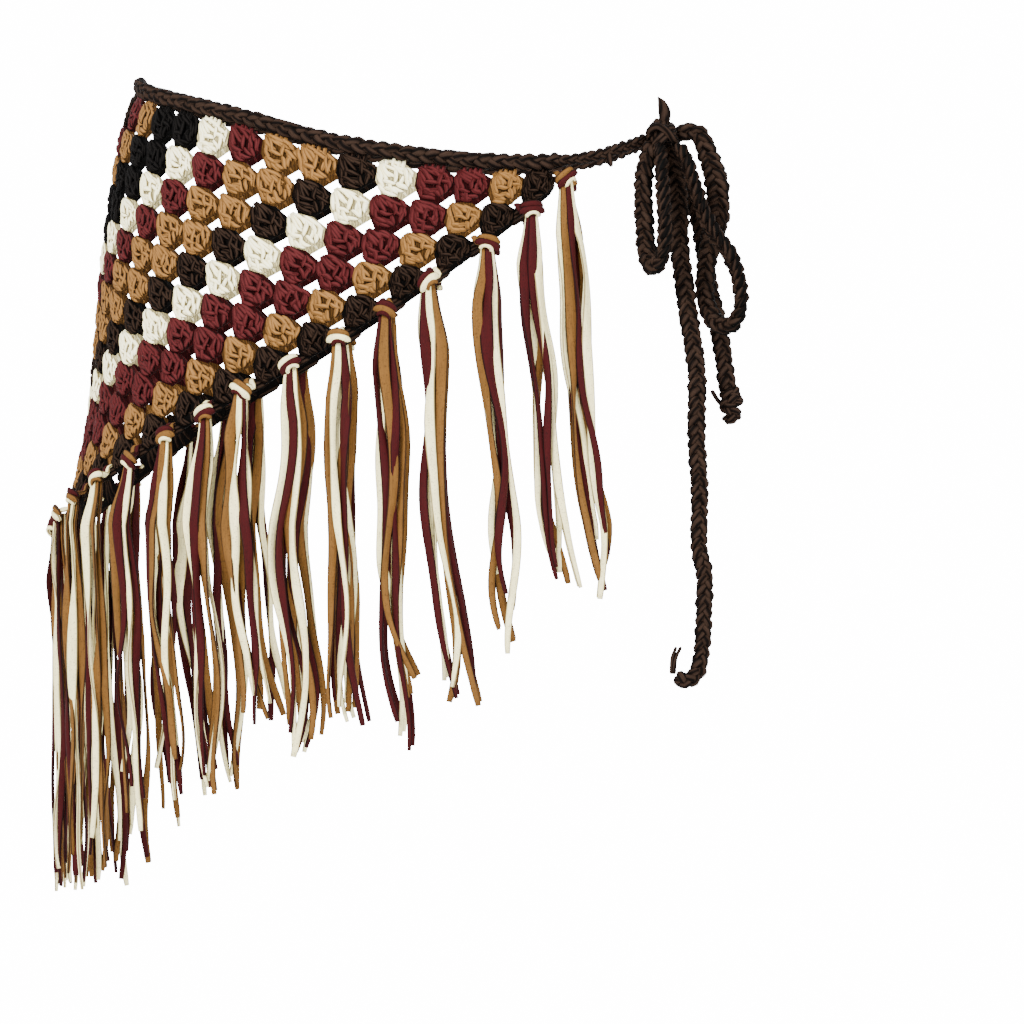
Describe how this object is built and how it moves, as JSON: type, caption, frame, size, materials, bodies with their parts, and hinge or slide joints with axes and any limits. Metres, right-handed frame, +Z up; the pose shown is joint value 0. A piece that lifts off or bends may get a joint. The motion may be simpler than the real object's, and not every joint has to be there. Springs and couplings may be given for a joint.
{
  "type": "belly dance hip scarf",
  "caption": "Crocheted granny stitch triangle worn round the hips, with a twisted cord belt tied in a bow at one side and a long yarn fringe along the hem.",
  "frame": {"origin": "middle of the waist ring at the height of the belt over the spine of the triangle, where the wearer's waist holds it", "axes": "+Z up; -Y is the front; the spine and apex of the triangle hang at the -X side, the bow at the front of the +X side"},
  "size_m": [0.3088, 0.2564, 0.3592],
  "materials": {
    "granny_crochet": "crocheted yarn in rows of dark brown, tan, burgundy, cream and black",
    "belt_cord": "crocheted dark brown cord",
    "fringe_yarn": "flat yarn strands in cream, burgundy and tan"
  },
  "bodies": {
    "root": {"panel_front": "granny_crochet", "panel_back": "granny_crochet", "waistband_front": "belt_cord", "waistband_back": "belt_cord", "tie_front": "belt_cord", "tie_back": "belt_cord", "bow_knot": "belt_cord", "bow_tuft": "belt_cord", "bow_loop_left": "belt_cord", "bow_loop_right": "belt_cord", "tie_end_long": "belt_cord", "tie_end_short": "belt_cord", "end_knot_short": "belt_cord", "end_tail_long": "belt_cord", "tassel_front_01": "fringe_yarn", "tassel_front_02": "fringe_yarn", "tassel_front_03": "fringe_yarn", "tassel_front_04": "fringe_yarn", "tassel_front_05": "fringe_yarn", "tassel_front_06": "fringe_yarn", "tassel_front_07": "fringe_yarn", "tassel_front_08": "fringe_yarn", "tassel_front_09": "fringe_yarn", "tassel_front_10": "fringe_yarn", "tassel_front_11": "fringe_yarn", "tassel_front_12": "fringe_yarn", "tassel_front_13": "fringe_yarn", "tassel_front_14": "fringe_yarn", "tassel_front_15": "fringe_yarn", "tassel_back_01": "fringe_yarn", "tassel_back_02": "fringe_yarn", "tassel_back_03": "fringe_yarn", "tassel_back_04": "fringe_yarn", "tassel_back_05": "fringe_yarn", "tassel_back_06": "fringe_yarn", "tassel_back_07": "fringe_yarn", "tassel_back_08": "fringe_yarn", "tassel_back_09": "fringe_yarn", "tassel_back_10": "fringe_yarn", "tassel_back_11": "fringe_yarn", "tassel_back_12": "fringe_yarn", "tassel_back_13": "fringe_yarn", "tassel_back_14": "fringe_yarn", "tassel_back_15": "fringe_yarn", "tassel_apex": "fringe_yarn"}
  },
  "joints": []
}
